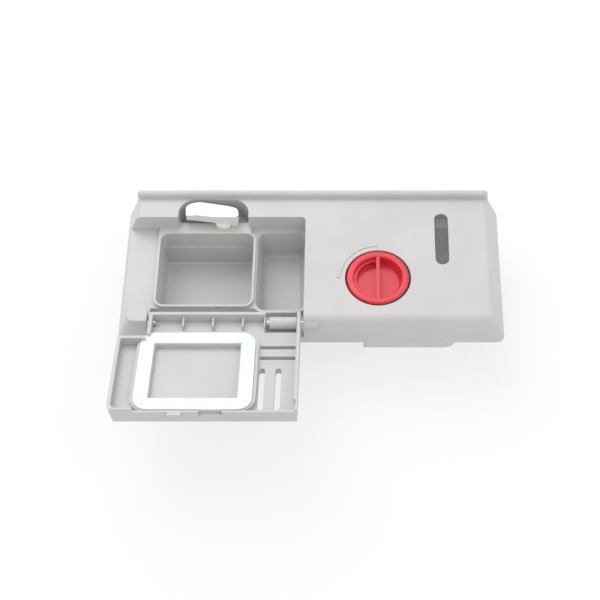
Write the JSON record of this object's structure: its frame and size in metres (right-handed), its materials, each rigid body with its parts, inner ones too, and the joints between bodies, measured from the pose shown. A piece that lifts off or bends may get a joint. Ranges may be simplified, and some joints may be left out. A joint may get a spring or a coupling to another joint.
{
  "type": "dishwasher detergent and rinse aid dispenser",
  "caption": "Dishwasher door dispenser: hinged lid over detergent cups, latch with its rear drive, and a rinse aid tank with filler cap, dosing dial and level window.",
  "frame": {"origin": "centre of the plate's base rectangle, on the plane of the door panel that the dispenser is fixed to", "axes": "+X along the plate towards the rinse aid side, +Y towards the latch side, +Z out of the face; the dispenser lies on its back"},
  "size_m": [0.25, 0.178, 0.0718],
  "materials": {
    "moulding": "light grey moulded polypropylene, fine satin",
    "black_rubber": "black rubber, matt",
    "tank": "natural translucent polypropylene",
    "clear_lens": "clear moulded plastic",
    "float": "dark moulded plastic",
    "cap": "translucent red, glossy",
    "white_plastic": "white moulded acetal",
    "seal": "white silicone rubber",
    "steel": "drawn stainless steel",
    "case": "dark moulded plastic",
    "brass": "tinned brass strip"
  },
  "bodies": {
    "housing": {"front_moulding": "moulding", "body_seal": "black_rubber", "rinse_tank": "tank", "sight_lens": "clear_lens", "hinge_pin_left": "steel", "hinge_pin_right": "steel", "lid_spring": "steel", "shaft_ring": "black_rubber", "latch_spring": "steel", "actuator_case": "case", "actuator_terminals": "brass", "actuator_screws": "steel", "rocker_clip": "steel", "valve_spring": "steel"},
    "lid": {"lid_panel": "moulding", "lid_cover": "moulding", "lid_seal": "seal", "hinge_sleeve": "moulding"},
    "latch": {"latch": "white_plastic", "latch_crank": "white_plastic"},
    "bar": {"slide_bar": "white_plastic", "actuator_plunger": "steel"},
    "rocker": {"rocker": "white_plastic"},
    "valve": {"valve_stem": "white_plastic", "valve_seal": "black_rubber"},
    "cap_ring": {"cap_seal": "black_rubber"},
    "cap": {"rinse_cap": "cap"},
    "dial": {"dosing_dial": "white_plastic"},
    "float": {"level_float": "float"}
  },
  "joints": [
    {"name": "lid_hinge", "type": "hinge", "parent": "housing", "child": "lid", "pos_m": [-0.055, -0.0476, 0.015], "axis": [1, 0, 0], "range_deg": [-167.5, 0], "stiffness_Nm_per_rad": 0.006, "springref_deg": 17.19},
    {"name": "bar_slide", "type": "slide", "parent": "housing", "child": "bar", "axis": [1, 0, 0], "range_m": [0, 0.00174]},
    {"name": "latch_turn", "type": "hinge", "parent": "housing", "child": "latch", "pos_m": [-0.066, 0.0375, 0], "axis": [0, 0, 1], "range_deg": [0, 5]},
    {"name": "rocker_turn", "type": "hinge", "parent": "housing", "child": "rocker", "pos_m": [-0.02, -0.0085, 0], "axis": [0, 0, 1], "range_deg": [-4, 0]},
    {"name": "valve_slide", "type": "slide", "parent": "housing", "child": "valve", "axis": [1, 0, 0], "range_m": [-0.00136, 0]},
    {"name": "cap_lift", "type": "slide", "parent": "housing", "child": "cap_ring", "axis": [0, 0, 1], "range_m": [0, 0.00201]},
    {"name": "cap_turn", "type": "hinge", "parent": "cap_ring", "child": "cap", "pos_m": [0.04325, -0.0172, 0], "axis": [0, 0, 1], "range_deg": [0, 90]},
    {"name": "dial_turn", "type": "hinge", "parent": "housing", "child": "dial", "pos_m": [0.04325, -0.0172, 0], "axis": [0, 0, 1], "range_deg": [0, 150]},
    {"name": "float_slide", "type": "slide", "parent": "housing", "child": "float", "axis": [0, -1, 0], "range_m": [0, 0.03]}
  ],
  "couplings": [
    {"joint": "latch_turn", "follows": "bar_slide", "rad_per_m": 50},
    {"joint": "rocker_turn", "follows": "bar_slide", "rad_per_m": -38.462},
    {"joint": "valve_slide", "follows": "bar_slide", "ratio": -0.76923},
    {"joint": "cap_lift", "follows": "cap_turn", "m_per_rad": 0.0012732}
  ]
}
